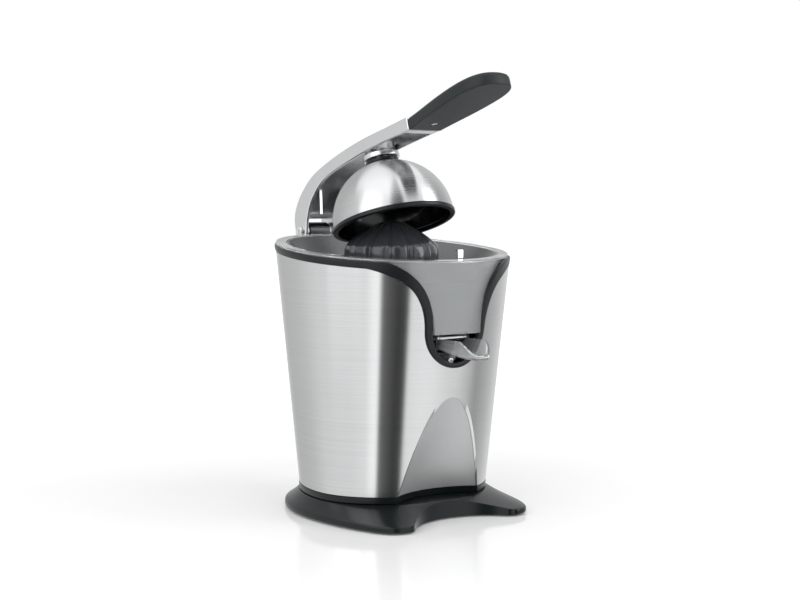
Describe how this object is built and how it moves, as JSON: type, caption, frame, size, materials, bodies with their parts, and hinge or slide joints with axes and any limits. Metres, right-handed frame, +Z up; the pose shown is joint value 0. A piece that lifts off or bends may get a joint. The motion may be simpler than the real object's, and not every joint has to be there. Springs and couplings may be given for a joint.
{
  "type": "citrus press juicer",
  "caption": "Lever-operated electric citrus press: tapered brushed-steel body on a black foot, clear juice container with spout, ribbed cone and hinged press dome.",
  "frame": {"origin": "centre of the bounding box at the bottom of the rubber feet, with the lever in the half-raised pose of the picture", "axes": "+Z up, the spout points to -Y, the lever hinge is at +Y, symmetric across X except for small trim"},
  "size_m": [0.1846, 0.2548, 0.3336],
  "materials": {
    "foot_plastic": "satin-gloss moulded charcoal",
    "black_plastic": "satin",
    "gloss_black": "gloss",
    "trim_plastic": "satin charcoal",
    "grip_plastic": "soft touch",
    "cone_plastic": "dark translucent look",
    "rubber": "matt",
    "brushed_steel": "brushed",
    "filter_steel": "dark satin",
    "panel_metal": "smooth satin grey",
    "plain_steel": "zinc plated",
    "bright_metal": "polished",
    "cast_metal": "satin die cast",
    "nylon": "natural",
    "clear_plastic": "clear moulded plastic"
  },
  "bodies": {
    "stand": {"foot_base": "foot_plastic", "bottom_cover": "black_plastic", "lower_frame": "foot_plastic", "cord_inlet": "rubber", "steel_shell": "brushed_steel", "recess_panel": "panel_metal", "rim_bezel": "trim_plastic", "front_panel": "gloss_black", "panel_screw": "bright_metal", "inner_deck": "black_plastic", "shaft_bush": "nylon", "gear_tray": "nylon", "motor": "plain_steel", "return_spring": "plain_steel", "spring_post": "black_plastic", "micro_switch": "black_plastic", "juice_container": "clear_plastic", "filter_bowl": "filter_steel", "filter_tab": "bright_metal", "spout_pin": "bright_metal", "hinge_block": "gloss_black", "hinge_plate": "plain_steel", "hinge_pin": "bright_metal", "hinge_clip": "plain_steel", "hinge_washer_left": "plain_steel", "hinge_washer_right": "plain_steel", "rubber_foot_1": "rubber", "cover_screw_1": "plain_steel", "rubber_foot_2": "rubber", "cover_screw_2": "plain_steel", "rubber_foot_3": "rubber", "cover_screw_3": "plain_steel", "rubber_foot_4": "rubber", "cover_screw_4": "plain_steel", "hinge_screw_1": "plain_steel", "hinge_screw_2": "plain_steel"},
    "lever": {"lever_arm": "cast_metal", "arm_collar": "bright_metal", "handle_grip": "grip_plastic", "grip_screw": "plain_steel"},
    "dome": {"dome_stem": "plain_steel", "neck_ring": "trim_plastic", "press_dome": "brushed_steel", "dome_liner": "gloss_black", "dome_seal": "trim_plastic"},
    "carriage": {"thrust_cup": "nylon"},
    "spindle": {"drive_shaft": "plain_steel", "drive_gear": "nylon", "press_cone": "cone_plastic"},
    "rotor": {"motor_pinion": "nylon"},
    "plunger": {"switch_plunger": "nylon"},
    "spout": {"drip_spout": "clear_plastic"}
  },
  "joints": [
    {"name": "lever_hinge", "type": "hinge", "parent": "stand", "child": "lever", "pos_m": [0, 0.117, 0.216], "axis": [-1, 0, 0], "range_deg": [-18.5, 60]},
    {"name": "dome_tilt", "type": "hinge", "parent": "lever", "child": "dome", "pos_m": [0, 0.01973, 0.27629], "axis": [1, 0, 0], "range_deg": [-2, 2]},
    {"name": "cone_press", "type": "slide", "parent": "stand", "child": "carriage", "axis": [0, 0, 1], "range_m": [-0.0025, 0], "stiffness_N_per_m": 1500, "springref_m": 0.002, "deforming": ["return_spring"]},
    {"name": "cone_spin", "type": "hinge", "parent": "carriage", "child": "spindle", "pos_m": [0, 0.006, 0.1], "axis": [0, 0, 1], "continuous": true},
    {"name": "motor_spin", "type": "hinge", "parent": "stand", "child": "rotor", "pos_m": [0, 0.0427, 0.09], "axis": [0, 0, 1], "continuous": true},
    {"name": "switch_press", "type": "slide", "parent": "stand", "child": "plunger", "axis": [0, 0, 1], "range_m": [-0.0025, 0], "stiffness_N_per_m": 30, "springref_m": 0.001},
    {"name": "spout_tip", "type": "hinge", "parent": "stand", "child": "spout", "pos_m": [0, -0.0705, 0.1393], "axis": [-1, 0, 0], "range_deg": [0, 16]}
  ],
  "couplings": [
    {"joint": "motor_spin", "follows": "cone_spin", "ratio": -5},
    {"joint": "switch_press", "follows": "cone_press", "ratio": 1}
  ]
}
